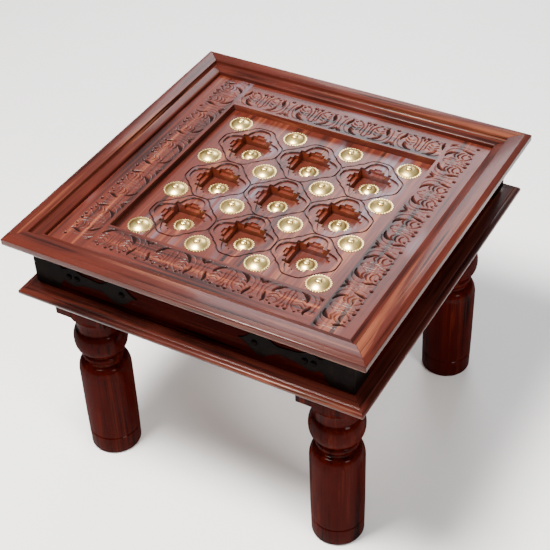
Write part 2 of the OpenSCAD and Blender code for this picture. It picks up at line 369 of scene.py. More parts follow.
@dataclass(frozen=True)
class LacqueredRosewood:
    """Dark figured rosewood under a glossy lacquer.

    The sizes are a pattern's length and width. Painted shade in grooves and on pocket floors, and
    the pocket walls' redder tone, are given by the depths below the panel's face between which
    they begin or end. All are in metres.
    """

    name: str
    grain: Grain
    dark: Colour = (0.0070, 0.0009, 0.0006)
    middle: Colour = (0.063, 0.0094, 0.0044)
    pale: Colour = (0.190, 0.051, 0.021)
    streak: float = 1.3
    wear: float = 0.0
    roughness: float = 0.36
    lacquer: float = 0.20
    lacquer_roughness: float = 0.12
    gloss: float = 0.14
    relief: bool = False
    depth_shade_top: float | None = None
    inside: Colour = (0.105, 0.0150, 0.0038)
    bloom: Colour = (0.110, 0.105, 0.135)
    figure_size: Point = (0.42, 0.030)
    streak_size: Point = (0.55, 0.0085)
    fibre_size: Point = (0.060, 0.0011)
    pore_size: Point = (0.011, 0.00045)
    cloud_size: Point = (0.17, 0.085)
    ember_gain: float = 1.45
    groove_starts: Point = (0.0004, 0.0011)
    groove_ends: Point = (0.0021, 0.0025)
    pocket_starts: Point = (0.0028, 0.0044)
    pocket_floor: Point = (0.008, 0.019)

    def build(self) -> Finish:
        """Builds the material.

        Returns:
            The material.
        """
        desk = ShaderDesk(self.name)
        place = desk.place()
        turn = self.grain.value

        def along(length: float, width: float) -> Wire:
            """The place stretched so that noise is this long and this wide."""
            return desk.mapped(place, turn, (1 / length, 1 / width, 1 / width))

        figure = desk.noise(along(*self.figure_size), 1.0, 5.0, 0.55, 0.9)
        streaks = desk.noise(along(*self.streak_size), 1.0, 4.0, 0.6, 0.5)
        fibre = desk.noise(along(*self.fibre_size), 1.0, 3.0, 0.6)
        pores = desk.noise(along(*self.pore_size), 1.0, 2.0, 0.5)
        cloud = desk.noise(along(*self.cloud_size), 1.0, 2.0, 0.5)
        tone = (figure * 0.55 + streaks * 0.45).between(0.36, 0.65)
        colour = desk.ramp(tone, ((0.0, self.dark), (0.34, self.middle), (0.66, self.middle),
                                  (1.0, self.pale)))
        ember = tuple(min(1.0, c * self.ember_gain) for c in self.middle)
        colour = desk.mix(cloud.between(0.48, 0.66) * 0.55, colour, ember)
        veins = streaks.between(0.57, 0.63) * figure.between(0.50, 0.62) * (0.7 * self.streak)
        colour = desk.mix(veins.held(), colour, self.dark)
        shade = (fibre - 0.5) * 0.55 + 1.0
        grey = desk.node("ShaderNodeCombineXYZ", {}, {0: shade, 1: shade, 2: shade}).value(0)
        colour = desk.mix(1.0, colour, grey, "MULTIPLY")
        # Painted reflection: random pale bluish-grey patches stand for the sky's sheen on the
        # lacquer.
        painted_sheen_patches = cloud.between(0.54, 0.66) * (1.0 - streaks.between(0.40, 0.62)) * self.wear
        colour = desk.mix(painted_sheen_patches.held(), colour, self.bloom)
        pits = pores.between(0.64, 0.72)
        colour = desk.mix(pits * 0.45, colour, self.dark)
        rough = self.roughness + (fibre - 0.5) * 0.16
        lacquer = self.lacquer
        if self.relief:
            sunk = desk.attribute("sunk")
            # Painted shade: the carving's recesses are darkened the deeper they are sunk.
            colour = desk.mix((sunk * 1.15).held(), colour, self.dark)
            rough = rough + sunk * 1.2
            lacquer = (1.0 - sunk * 1.6).held() * self.lacquer
        # Painted shade below the face: grooves and pocket floors are darkened by depth; pocket
        # walls take a redder tone.
        if self.depth_shade_top is not None:
            depth = self.depth_shade_top - desk.axis(place, "Z")
            below_groove = 1.0 - depth.between(*self.groove_ends)
            groove = depth.between(*self.groove_starts) * below_groove
            colour = desk.mix(groove * 0.85, colour, self.dark)
            inside = depth.between(*self.pocket_starts)
            colour = desk.mix(inside * 0.55, colour, self.inside)
            colour = desk.mix(depth.between(*self.pocket_floor) * 0.38, colour, self.dark)
            rough = rough + inside * 0.10
        normal = desk.bump(fibre, 0.00012, 0.6)
        normal = desk.bump(1.0 - pits, 0.00010, 0.7, normal)
        normal = desk.bump(figure, 0.0010, 0.25, normal)
        return desk.finish(Base_Color=colour, Roughness=rough.held(), Normal=normal,
                           Coat_Weight=lacquer, Coat_Roughness=self.lacquer_roughness,
                           Specular_IOR_Level=self.gloss)


def both_ways(name: str, **look: Any) -> dict[Grain, Finish]:
    """One rosewood for boards that run along X and along Y.

    Args:
        name: What the two materials' names begin with.
        look: The fields of LacqueredRosewood that differ from its defaults.

    Returns:
        The material for each direction.
    """
    return {grain: LacqueredRosewood(f"{name}_{grain.name.lower()}", grain, **look).build()
            for grain in (Grain.ALONG_X, Grain.ALONG_Y)}


@dataclass(frozen=True)
class PlainBoard:
    """Pale unfinished board for what is hidden inside. Lengths in metres."""

    name: str = "plain_board_finish"
    ring_length: float = 0.30
    ring_width: float = 0.012

    def build(self) -> Finish:
        """Builds the material.

        Returns:
            The material.
        """
        desk = ShaderDesk(self.name)
        width = 1 / self.ring_width
        place = desk.mapped(desk.place(), Grain.ALONG_X.value,
                            (1 / self.ring_length, width, width))
        rings = desk.noise(place, 1.0, 4.0, 0.55, 0.6)
        fibre = desk.noise(place, 9.0, 3.0, 0.6)
        colour = desk.ramp(rings, ((0.30, (0.30, 0.17, 0.080)), (0.50, (0.46, 0.29, 0.15)),
                                   (0.72, (0.56, 0.38, 0.21))))
        rough = 0.62 + (fibre - 0.5) * 0.2
        return desk.finish(Base_Color=colour, Roughness=rough,
                           Normal=desk.bump(fibre, 0.0002, 0.6))


@dataclass(frozen=True)
class PressedBrass:
    """Polished brass sheet with a little tarnish and scuffing, and grime with painted shade round
    each nail and at each dome's foot.
    """

    name: str = "brass_finish"
    bright: Colour = (0.98, 0.74, 0.28)
    tarnished: Colour = (0.60, 0.38, 0.10)
    grimy_and_shaded: Colour = (0.170, 0.095, 0.030)
    speckled: Colour = (0.22, 0.14, 0.05)
    roughness: float = 0.29

    def build(self) -> Finish:
        """Builds the material.

        Returns:
            The material.
        """
        desk = ShaderDesk(self.name)
        place = desk.place()
        cloud = desk.noise(place, 62.0, 4.0, 0.6, 0.3)
        speck = desk.noise(place, 900.0, 2.0, 0.5)
        dull = cloud.between(0.46, 0.70)
        colour = desk.mix(dull * 0.42, self.bright, self.tarnished)
        colour = desk.mix(speck.between(0.66, 0.74) * 0.5, colour, self.speckled)
        # Grime and painted shade: darkens the ring round the nail and the crease at the dome's
        # foot.
        grime_and_shade = desk.attribute("grime_and_shade") * (0.55 + cloud * 0.6)
        colour = desk.mix(grime_and_shade.held(), colour, self.grimy_and_shaded)
        rough = self.roughness + dull * 0.12 + (speck - 0.5) * 0.08 + grime_and_shade * 0.15
        normal = desk.bump(cloud, 0.0006, 0.35)
        normal = desk.bump(speck, 0.00006, 0.5, normal)
        return desk.finish(Base_Color=colour, Roughness=rough.held(), Metallic=1.0, Normal=normal)


@dataclass(frozen=True)
class HammeredIron:
    """Blackened iron with hammer marks and a trace of rust."""

    name: str = "iron_finish"
    black: Colour = (0.0026, 0.0014, 0.0012)
    brown: Colour = (0.0080, 0.0038, 0.0028)
    rust: Colour = (0.024, 0.009, 0.005)

    def build(self) -> Finish:
        """Builds the material.

        Returns:
            The material.
        """
        desk = ShaderDesk(self.name)
        place = desk.place()
        dents = desk.node("ShaderNodeTexVoronoi", {"feature": "SMOOTH_F1"},
                          {"Vector": place, "Scale": 130.0, "Smoothness": 0.8}).value("Distance")
        cloud = desk.noise(place, 45.0, 4.0, 0.6)
        grit = desk.noise(place, 700.0, 3.0, 0.6)
        colour = desk.mix(cloud.between(0.48, 0.68) * 0.6, self.black, self.brown)
        colour = desk.mix(grit.between(0.62, 0.72) * 0.5, colour, self.rust)
        rough = 0.52 + (cloud - 0.5) * 0.3
        normal = desk.bump(dents, 0.0012, 0.6)
        normal = desk.bump(grit, 0.00015, 0.5, normal)
        return desk.finish(Base_Color=colour, Roughness=rough.held(), Specular_IOR_Level=0.0,
                           Coat_Weight=0.05, Coat_Roughness=0.30, Normal=normal)


@dataclass(frozen=True)
class ZincSteel:
    """Zinc-plated steel for screws, bolts and nuts."""

    name: str = "zinc_finish"
    dull: Colour = (0.45, 0.46, 0.47)
    bright: Colour = (0.66, 0.67, 0.68)

    def build(self) -> Finish:
        """Builds the material.

        Returns:
            The material.
        """
        desk = ShaderDesk(self.name)
        cloud = desk.noise(desk.place(), 220.0, 3.0, 0.6)
        colour = desk.mix(cloud, self.dull, self.bright)
        return desk.finish(Base_Color=colour, Roughness=0.30 + cloud * 0.15, Metallic=1.0,
                           Normal=desk.bump(cloud, 0.0001, 0.4))


@dataclass(frozen=True)
class BrownFelt:
    """Short dense felt."""

    name: str = "felt_finish"
    deep: Colour = (0.030, 0.020, 0.016)
    raised: Colour = (0.110, 0.080, 0.062)

    def build(self) -> Finish:
        """Builds the material.

        Returns:
            The material.
        """
        desk = ShaderDesk(self.name)
        fuzz = desk.noise(desk.place(), 1500.0, 4.0, 0.7)
        colour = desk.mix(fuzz, self.deep, self.raised)
        return desk.finish(Base_Color=colour, Roughness=0.95,
                           Normal=desk.bump(fuzz, 0.0004, 0.8))


# ---------------------------------------------------------------------------------------------
# Bench work: operators used as by hand
# ---------------------------------------------------------------------------------------------


class Bench:
    """The modelling steps that the pieces share."""

    @staticmethod
    def clear() -> None:
        """Leaves every object deselected, in object mode."""
        if bpy.context.object is not None and bpy.context.object.mode != "OBJECT":
            bpy.ops.object.mode_set(mode="OBJECT")
        bpy.ops.object.select_all(action="DESELECT")

    @staticmethod
    def take(obj: Solid) -> None:
        """Selects only this object and makes it active."""
        Bench.clear()
        obj.select_set(True)
        bpy.context.view_layer.objects.active = obj

    @staticmethod
    def scrap(*patterns: Solid) -> None:
        """Removes patterns and tools that aren't needed any more."""
        for pattern in patterns:
            bpy.data.objects.remove(pattern, do_unlink=True)

    @staticmethod
    @contextmanager
    def editing() -> Iterator[None]:
        """Edit mode with all selected. At its end every face is turned outwards."""
        bpy.ops.object.mode_set(mode="EDIT")
        bpy.ops.mesh.select_all(action="SELECT")
        yield
        bpy.ops.mesh.select_all(action="SELECT")
        bpy.ops.mesh.normals_make_consistent(inside=False)
        bpy.ops.object.mode_set(mode="OBJECT")

    @staticmethod
    def settle(obj: Solid) -> None:
        """Moves an object's place into its mesh."""
        Bench.take(obj)
        bpy.ops.object.transform_apply(location=True, rotation=True, scale=True)

    @staticmethod
    def lathe(outline: Sequence[Point], sides: int, centre: Point = (0.0, 0.0),
              solid: bool = True) -> Solid:
        """Turns a piece from rings that are drawn up or down the axis.

        Args:
            outline: Radius and height of each ring.
            sides: How many sides a ring has.
            centre: Where the axis stands.
            solid: Whether both ends are closed.

        Returns:
            The turned piece.
        """
        Bench.clear()
        radius, height = outline[0]
        bpy.ops.mesh.primitive_circle_add(
            vertices=sides, radius=radius, fill_type="NGON" if solid else "NOTHING",
            location=(*centre, height))
        obj = bpy.context.object
        Bench.settle(obj)
        with Bench.editing():
            for (r_from, z_from), (r_to, z_to) in zip(outline, outline[1:]):
                step = {"value": (0.0, 0.0, z_to - z_from)}
                if solid:
                    bpy.ops.mesh.extrude_region_move(TRANSFORM_OT_translate=step)
                else:
                    bpy.ops.mesh.extrude_edges_move(TRANSFORM_OT_translate=step)
                grow = r_to / r_from
                bpy.ops.transform.resize(value=(grow, grow, 1.0),
                                         center_override=(*centre, z_to))
        return obj

    @staticmethod
    def drawn(corners: Sequence[Spot], step: Spot) -> Solid:
        """Draws a solid from a flat face.

        Args:
            corners: The face's corners.
            step: How far the face is drawn along each axis.

        Returns:
            The solid.
        """
        Bench.clear()
        bpy.ops.mesh.primitive_circle_add(vertices=len(corners), radius=0.01, fill_type="NGON")
        obj = bpy.context.object
        for vertex, corner in zip(obj.data.vertices, corners):
            vertex.co = corner
        with Bench.editing():
            bpy.ops.mesh.extrude_region_move(TRANSFORM_OT_translate={"value": step})
        return obj

    @staticmethod
    def saw(obj: Solid, point: Sequence[float], away: Sequence[float]) -> None:
        """Saws off what lies beyond a plane and closes the cut.

        Args:
            obj: The piece.
            point: A point on the plane.
            away: The direction of what is cut off.
        """
        Bench.take(obj)
        with Bench.editing():
            bpy.ops.mesh.bisect(plane_co=point, plane_no=away, use_fill=True, clear_outer=True)

    @staticmethod
    def block(low: Sequence[float], high: Sequence[float]) -> Solid:
        """A block between two corners.

        Args:
            low: The lowest corner.
            high: The highest corner.

        Returns:
            The block.
        """
        Bench.clear()
        size = [b - a for a, b in zip(low, high)]
        middle = [(a + b) / 2 for a, b in zip(low, high)]
        bpy.ops.mesh.primitive_cube_add(size=1.0, location=middle)
        obj = bpy.context.object
        obj.scale = size
        Bench.settle(obj)
        return obj

    @staticmethod
    def modify(obj: Solid, kind: str, **settings: Any) -> None:
        """Adds a modifier and applies it.

        Args:
            obj: The piece.
            kind: The modifier's type.
            settings: Its settings.
        """
        Bench.take(obj)
        modifier = obj.modifiers.new(kind.lower(), kind)
        for key, value in settings.items():
            setattr(modifier, key, value)
        bpy.ops.object.modifier_apply(modifier=modifier.name)

    @staticmethod
    def cut(obj: Solid, tool: Solid, operation: str = "DIFFERENCE") -> None:
        """Cuts a piece with a tool, or joins the two as solids, and puts the tool away.

        Args:
            obj: The piece.
            tool: The other solid.
            operation: The Boolean operation.
        """
        Bench.modify(obj, "BOOLEAN", object=tool, operation=operation, solver="EXACT")
        Bench.scrap(tool)

    @staticmethod
    def ease(obj: Solid, width: float, angle: float, segments: int = 2) -> None:
        """Rounds the sharp edges.

        Args:
            obj: The piece.
            width: Width of the rounding.
            angle: The least angle, in degrees, that is rounded.
            segments: How many faces a rounding has.
        """
        Bench.modify(obj, "BEVEL", width=width, segments=segments, limit_method="ANGLE",
                     angle_limit=math.radians(angle))

    @staticmethod
    def smooth(obj: Solid, angle: float = 35.0) -> None:
        """Shades smoothly where faces meet at less than this angle, in degrees."""
        Bench.take(obj)
        bpy.ops.object.shade_smooth_by_angle(angle=math.radians(angle))

    @staticmethod
    def join(pieces: Sequence[Solid]) -> Solid:
        """Joins pieces.

        Args:
            pieces: The pieces. The first takes in the others.

        Returns:
            The joined piece.
        """
        Bench.clear()
        for piece in pieces:
            piece.select_set(True)
        bpy.context.view_layer.objects.active = pieces[0]
        bpy.ops.object.join()
        return bpy.context.object

    @staticmethod
    def copy(obj: Solid, move: Matrix) -> Solid:
        """Copies a piece with its mesh.

        Args:
            obj: The piece.
            move: Where the copy goes.

        Returns:
            The copy.
        """
        twin = obj.copy()
        twin.data = obj.data.copy()
        twin.data.transform(move)
        bpy.context.collection.objects.link(twin)
        return twin

    @staticmethod
    def hand_over(obj: Solid, name: str, slot: str, material: Finish,
                  nodes: Iterable[str]) -> None:
        """Names and dresses a finished piece and puts it on the frame.

        Args:
            obj: The piece.
            name: Its name.
            slot: The record's material slot; not used.
            material: Its material.
            nodes: The frame's nodes that it stands for.
        """
        obj.name = name
        obj.data.name = name
        obj.data.materials.clear()
        obj.data.materials.append(material)
        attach(obj, BODY)
        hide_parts(*nodes)
        LOG.info("%s: %d faces", name, len(obj.data.polygons))


def set_round(pattern: Solid, name: str, node: str, slot: str,
              places: Iterable[tuple[str, Finish]]) -> None:
    """Copies a piece to all four sides or corners of the table and scraps the pattern.

    Args:
        pattern: The piece at the front or at the front right corner.
        name: What the copies' names begin with.
        node: What the names of the nodes that they stand for begin with.
        slot: The record's material slot.
        places: The name of each side or corner and the finish there.
    """
    for count, (word, finish) in enumerate(places):
        Bench.hand_over(Bench.copy(pattern, quarter_turn(count)), f"{name}_{word}", slot, finish,
                        [f"{node}_{word}"])
    Bench.scrap(pattern)


def by_side(finishes: dict[Grain, Finish]) -> list[tuple[str, Finish]]:
    """Each side's name, with the finish whose grain runs along it."""
    return [(side.word, finishes[grain_of(side)]) for side in Side]


def store(obj: Solid, name: str, values: np.ndarray) -> None:
    """Keeps a number for each vertex on the mesh, for the finish to read."""
    numbers = obj.data.attributes.new(name, "FLOAT", "POINT")
    numbers.data.foreach_set("value", values.astype(np.float32))


def arc(middle: Point, radii: Point, start: float, end: float, steps: int) -> list[Point]:
    """Points on an ellipse.

    Args:
        middle: The ellipse's middle.
        radii: Its two radii.
        start: The first angle, in degrees.
        end: The last angle, in degrees.
        steps: How many steps lie between them.

    Returns:
        The points.
    """
    angles = [math.radians(start + (end - start) * i / steps) for i in range(steps + 1)]
    return [(middle[0] + radii[0] * math.cos(a), middle[1] + radii[1] * math.sin(a))
            for a in angles]


def metres(points: Iterable[Point]) -> list[Point]:
    """Points in millimetres as metres."""
    return [(a * MM, b * MM) for a, b in points]


# ---------------------------------------------------------------------------------------------
# Frame, ledge and legs
# ---------------------------------------------------------------------------------------------


@dataclass
class TopFrame:
    """The four mitred rails of the moulded top frame. Sizes in millimetres."""

    outer: float = 300.0
    inner: float = 254.0
    top: float = 465.0
    bottom: float = 436.0
    bevel: float = 8.0
    flat: float = 21.0
    underside: float = 272.0
    joint_gap: float = 0.12
    easing: float = 0.5

    def section(self) -> list[Point]:
        """The rail's section, from its inner foot round the outside.

        Returns:
            Each corner's distance from the table's middle, and its height.
        """
        flat_end = self.outer - self.bevel - self.flat
        return [
            (self.inner, self.bottom), (self.underside, self.bottom),
            *arc((self.outer - 5, self.bottom - 1), (24, 10), 165, 100, 8),
            *arc((self.outer - 5, self.top - 13), (5, 5), -80, 0, 8),
            *arc((self.outer - 5, self.top - 6), (5, 3), 0, 60, 6),
            (self.outer - self.bevel, self.top), (flat_end, self.top),
            *arc((flat_end - 4, self.top - 2), (3.5, 5.5), 0, -90, 8),
            (self.inner + 3, self.top - 9.5), (self.inner + 0.8, self.top - 10.5),
            (self.inner, self.top - 12),
        ]

    def build(self, finishes: dict[Grain, Finish]) -> None:
        """Builds the rails.

        Args:
            finishes: The wood finish for each grain direction.
        """
        rail = mitred(self.section(), self.outer, self.joint_gap, self.easing)
        set_round(rail, "moulded_rail", "top_rail", "rosewood", by_side(finishes))


@dataclass
class Ledge:
    """The four mitred rails of the lower ledge. Sizes in millimetres."""

    outer: float = 293.0
    inner: float = 208.0
    top: float = 366.0
    bottom: float = 346.0
    apron: float = 268.0
    joint_gap: float = 0.12
    easing: float = 0.4

    def section(self) -> list[Point]:
        """The rail's section, from its inner foot round the outside.

        Returns:
            Each corner's distance from the table's middle, and its height.
        """
        return [
            (self.inner, self.bottom), (self.outer - 18, self.bottom),
            (self.outer - 12, self.bottom + 2),
            *arc((self.outer - 6, self.bottom + 9), (6, 6), -90, 60, 12),
            (self.outer - 8, self.top - 5), (self.outer - 9, self.top - 3.8),
            (self.apron + 2, self.top - 0.6), (self.apron, self.top), (self.inner, self.top),
        ]

    def build(self, finishes: dict[Grain, Finish]) -> None:
        """Builds the rails.

        Args:
            finishes: The wood finish for each grain direction.
        """
        rail = mitred(self.section(), self.outer, self.joint_gap, self.easing)
        set_round(rail, "ledge_moulding", "ledge_rail", "rosewood", by_side(finishes))


def mitred(section: Sequence[Point], outer: float, gap: float, easing: float) -> Solid:
    """A front rail with both ends mitred and its edges eased.

    Args:
        section: The section in millimetres.
        outer: Distance of the outer face from the middle, in millimetres.
        gap: Half the open line at a mitre, in millimetres.
        easing: Width of the eased edges, in millimetres.

    Returns:
        The rail.
    """
    half = outer * MM
    corners = [(-half, -out, height) for out, height in metres(section)]
    rail = Bench.drawn(corners, (2 * half, 0.0, 0.0))
    Bench.saw(rail, (-gap * MM, 0.0, 0.0), (1.0, 1.0, 0.0))
    Bench.saw(rail, (gap * MM, 0.0, 0.0), (-1.0, 1.0, 0.0))
    Bench.ease(rail, easing * MM, 28.0)
    Bench.smooth(rail)
    return rail


@dataclass
class TurnedLegs:
    """Four turned legs with square heads. Sizes in millimetres."""

    centre: float = 212.0
    radius: float = 43.0
    head_width: float = 90.0
    head_bottom: float = 298.0
    head_top: float = 346.0
    pad: float = 1.5
    scribe: float = 36.0
    body_top: float = 168.0
    neck: float = 190.0
    bead: float = 203.0
    ball: float = 237.0
    flare: float = 262.0
    head_easing: float = 1.6
    sides: int = 96

    def outline(self) -> list[Point]:
        """The turned outline from the foot up into the head.

        Returns:
            The radius and height of each ring.
        """
        neck_r = self.radius - 11
        ball_r = self.radius + 0.6
        return [
            (self.radius - 3, self.pad), (self.radius - 1.8, self.pad + 0.8),
            (self.radius - 1, self.pad + 2.5), (self.radius - 0.5, self.scribe - 1.6),
            (self.radius - 1.1, self.scribe - 0.8), (self.radius - 1.7, self.scribe),
            (self.radius - 1.1, self.scribe + 0.8), (self.radius - 0.5, self.scribe + 1.6),
            (self.radius - 0.1, self.scribe + 30), (self.radius, self.body_top - 6),
            *arc((neck_r + 1, self.body_top), (self.radius - neck_r - 1,
                                               self.neck - self.body_top), 0, 86, 12),
            (neck_r - 0.6, self.neck + 1.2), (neck_r - 1, self.neck + 3),
            (neck_r - 1, self.bead - 6.6),
            *arc((neck_r - 2.5, self.bead), (5, 6), -70, 70, 10),
            (neck_r - 1, self.bead + 7.0), (neck_r - 0.6, self.bead + 8.6),
            *arc((neck_r, self.ball), (ball_r - neck_r, 24), -82, 70, 22),
            (self.radius - 7.5, self.flare - 1),
            *arc((self.head_width / 2, self.flare), (9, 28), 176, 100, 12),
            (self.head_width / 2, self.flare + 30), (self.head_width / 2, self.head_bottom + 5),
        ]

    def build(self, finish: Finish) -> None:
        """Builds the legs.

        Args:
            finish: The legs' wood finish.
        """
        axis = (self.centre * MM, -self.centre * MM)
        leg = Bench.lathe(metres(self.outline()), self.sides, axis)
        half = self.head_width / 2 * MM
        head = Bench.block((axis[0] - half, axis[1] - half, self.head_bottom * MM),
                           (axis[0] + half, axis[1] + half, self.head_top * MM))
        Bench.ease(head, self.head_easing * MM, 30.0, 3)
        Bench.cut(leg, head, "UNION")
        Bench.smooth(leg, 32.0)
        set_round(leg, "turned_leg", "leg", "leg_rosewood", [(word, finish) for word in CORNERS])


# ---------------------------------------------------------------------------------------------
# Carving
# ---------------------------------------------------------------------------------------------


@dataclass(frozen=True)
class Gouge:
    """One cut of the carver's gouge, in millimetres.

    path holds the cut's points, each with its place along, its place across, its width.
    """

    path: tuple[Spot, ...]
    depth: float
    mirrored: bool = True


# The cuts of one palmette. Those on its right half are mirrored to its left half.
PALMETTE = (
    Gouge(((11.0, 1.8, 0.7), (16.5, 2.9, 3.2), (22.0, 6.6, 5.4), (26.2, 12.0, 4.0),
           (28.4, 17.5, 0.8)), 4.4),
    Gouge(((21, 0.2, 0.7), (31, 3.4, 1.0), (37, 11.0, 1.0), (39, 21.0, 1.0), (37.5, 31.0, 1.0),
           (32.5, 39.0, 1.0), (27, 43.0, 0.7)), 0.65),
    Gouge(((36.2, 22.5, 0.6), (35.8, 28.0, 3.6), (33.8, 33.5, 5.2), (32.4, 38.8, 3.4),
           (33.6, 43.6, 0.8)), 4.3),
    Gouge(((14.0, 17.6, 0.7), (19, 14.6, 1.5), (24, 15.6, 1.7), (28.0, 20.0, 0.7)), 1.6),
    Gouge(((12.5, 24.8, 0.7), (18, 21.2, 1.5), (24, 22.0, 1.8), (29.5, 27.0, 0.7)), 1.7),
    Gouge(((13.0, 32.0, 0.7), (18, 28.2, 1.5), (23.5, 28.8, 1.8), (28.0, 33.2, 0.7)), 1.7),
    Gouge(((7.0, 9.5, 0.6), (9.4, 14.0, 1.1), (8.6, 22.0, 1.2), (9.4, 31.0, 1.4),
           (13.5, 38.0, 1.5), (18.5, 41.8, 0.8)), 1.1),
    Gouge(((0.6, 3.4, 0.6), (3.8, 7.0, 0.9), (3.9, 20.0, 1.0), (4.6, 34.0, 1.2),
           (7.0, 40.6, 0.8)), 1.0),
    Gouge(((0.0, 34.0, 0.6), (0.0, 38.0, 1.6), (0.0, 41.0, 2.2)), 2.0, mirrored=False),
    Gouge(((42.6, 7.0, 0.6), (44.6, 15.0, 0.9), (44.2, 24.0, 1.0), (43.6, 33.0, 0.9),
           (41.0, 40.0, 0.6)), 0.8),
    Gouge(((42.4, 0.4, 0.8), (45.2, 3.2, 2.8), (48.6, 8.8, 0.8)), 3.4),
    Gouge(((38.4, -0.2, 0.6), (41.0, 2.6, 1.3), (44.8, 8.4, 0.6)), 1.2),
)

# Drilled holes of one palmette: place along, place across, radius.
DRILLED = ((25.0, 38.2, 1.5), (-25.0, 38.2, 1.5), (5.4, 43.0, 2.1), (-5.4, 43.0, 2.1),
           (20.0, 42.6, 1.5), (-19.0, 42.6, 1.5), (48.4, 43.2, 2.0), (44.0, 3.0, 1.2),
           (-44.0, 3.0, 1.2))


@dataclass(frozen=True)
class Band:
    """How the palmettes stand on one board: how many, and how far they are off its middle."""

    count: int
    shift: float


@dataclass
class CarvedBorder:
    """Four border boards with a running band of palmettes. Sizes in millimetres."""

    outer: float = 254.0
    inner: float = 185.0
    bottom: float = 436.0
    top: float = 448.0
    band_start: float = 5.5
    mesh_step: float = 0.8
    pitch: float = 97.0
    overlap: float = 3.0
    plain_end: float = 2.0
    drilled_depth: float = 3.8
    slip_along: float = 0.5
    slip_across: float = 0.45
    slip_drill: float = 0.4
    clearance: float = 0.1
    seed: int = 41
    bands: dict[Side, Band] = field(default_factory=lambda: {
        Side.FRONT: Band(4, -9.0), Side.RIGHT: Band(5, -2.2),
        Side.BACK: Band(4, -1.3), Side.LEFT: Band(5, -11.8)})

    def carve(self, along: np.ndarray, across: np.ndarray, band: Band,
              chance: random.Random) -> np.ndarray:
        """Works out how deep the carving is at each point of a board.

        Args:
            along: Distance along the board from its middle.
            across: Distance from the board's inner edge.
            band: How the board's palmettes stand.
            chance: Where the hand's unevenness comes from.

        Returns:
            The depth at each point, zero or more.
        """
        depth = np.zeros_like(along)
        for number in range(band.count):
            local = along - band.shift - (number - (band.count - 1) / 2) * self.pitch
            near = np.abs(local) < self.pitch / 2 + self.overlap
            spot, row = local[near], across[near] - self.band_start
            deepest = depth[near]
            for gouge in PALMETTE:
                for flip in (1, -1) if gouge.mirrored else (1,):
                    path = [(flip * a + chance.uniform(-self.slip_along, self.slip_along),
                             b + chance.uniform(-self.slip_across, self.slip_across),
                             w * chance.uniform(0.85, 1.15)) for a, b, w in gouge.path]
                    reach = gouge.depth * chance.uniform(0.85, 1.1)
                    deepest = np.maximum(deepest, reach * stroke(spot, row, path))
            for a, b, radius in DRILLED:
                slip = chance.uniform(-self.slip_drill, self.slip_drill)
                apart = np.hypot(spot - a - slip, row - b)
                hole = self.drilled_depth * np.clip(1.6 - apart / radius * 1.1, 0, 1)
                deepest = np.maximum(deepest, hole)
            depth[near] = deepest
        return depth

    def board(self, half: float, band: Band, chance: random.Random) -> Solid:
        """Builds one carved board along the front.

        Args:
            half: Half its length.
            band: How its palmettes stand.
            chance: Where the hand's unevenness comes from.

        Returns:
            The board.
        """
        width = self.outer - self.inner
        Bench.clear()
        bpy.ops.mesh.primitive_grid_add(
            x_subdivisions=round(2 * half / self.mesh_step),
            y_subdivisions=round(width / self.mesh_step), size=1.0,
            location=(0.0, -(self.inner + width / 2) * MM, self.top * MM))
        obj = bpy.context.object
        obj.scale = (2 * half * MM, width * MM, 1.0)
        Bench.settle(obj)
        spots = vertex_places(obj)
        along, across = spots[:, 0] / MM, -spots[:, 1] / MM - self.inner
        depth = self.carve(along, across, band, chance)
        depth[np.abs(along) > half - self.plain_end] = 0.0
        spots[:, 2] -= depth * MM
        set_vertex_places(obj, spots)
        # How far each point is sunk, which the finish turns into painted shade in the recesses.
        store(obj, "sunk", np.clip(depth / self.drilled_depth, 0, 1) ** 0.8)
        close_below(obj, self.bottom * MM)
        return obj

    def build(self, finishes: dict[Grain, Finish]) -> None:
        """Builds the four boards.

        Args:
            finishes: The carved wood finish for each grain direction.
        """
        for side in Side:
            band = self.bands[side]
            full_length = grain_of(side) is Grain.ALONG_Y
            half = (self.outer if full_length else self.inner) - self.clearance
            obj = self.board(half, band, random.Random(self.seed + side.value))
            obj.data.transform(quarter_turn(side.value))
            Bench.smooth(obj, 50.0)
            Bench.hand_over(obj, f"carved_board_{side.word}", "carved_rosewood",
                            finishes[grain_of(side)], [f"border_board_{side.word}"])


def stroke(along: np.ndarray, across: np.ndarray, path: Sequence[Spot]) -> np.ndarray:
    """How strongly one tapering gouge cut marks each point, from 0 to 1.

    Args:
        along: Each point's place along.
        across: Each point's place across.
        path: The cut's points, each with its width.

    Returns:
        1 in the middle of a wide stretch of the cut, less where it is narrow.
    """
    fine = curve_through(path, 5)
    widest = max(width for _, _, width in path)
    mark = np.zeros_like(along)
    for (a0, b0, w0), (a1, b1, w1) in zip(fine, fine[1:]):
        run, rise = a1 - a0, b1 - b0
        length = max(run * run + rise * rise, 1e-9)
        share = np.clip(((along - a0) * run + (across - b0) * rise) / length, 0, 1)
        apart = np.hypot(along - a0 - share * run, across - b0 - share * rise)
        wide = w0 + (w1 - w0) * share
        edge = np.clip(1 - (apart / (0.5 * wide + 0.35)) ** 2, 0, 1)
        mark = np.maximum(mark, edge * (0.45 + 0.55 * wide / widest))
    return mark


def curve_through(path: Sequence[Spot], steps: int) -> list[Spot]:
    """A smooth line through points.

    Args:
        path: The points.
        steps: Steps between two of them.

    Returns:
        The points of the line.
    """
    knots = [np.array(p, float) for p in (path[0], *path, path[-1])]
    line = []
    for before, start, end, after in zip(knots, knots[1:], knots[2:], knots[3:]):
        for step in range(steps):
            t = step / steps
            point = 0.5 * (2 * start + (end - before) * t
                           + (2 * before - 5 * start + 4 * end - after) * t * t
                           + (3 * start - before - 3 * end + after) * t ** 3)
            line.append((float(point[0]), float(point[1]), float(max(point[2], 0.2))))
    line.append(tuple(path[-1]))
    return line


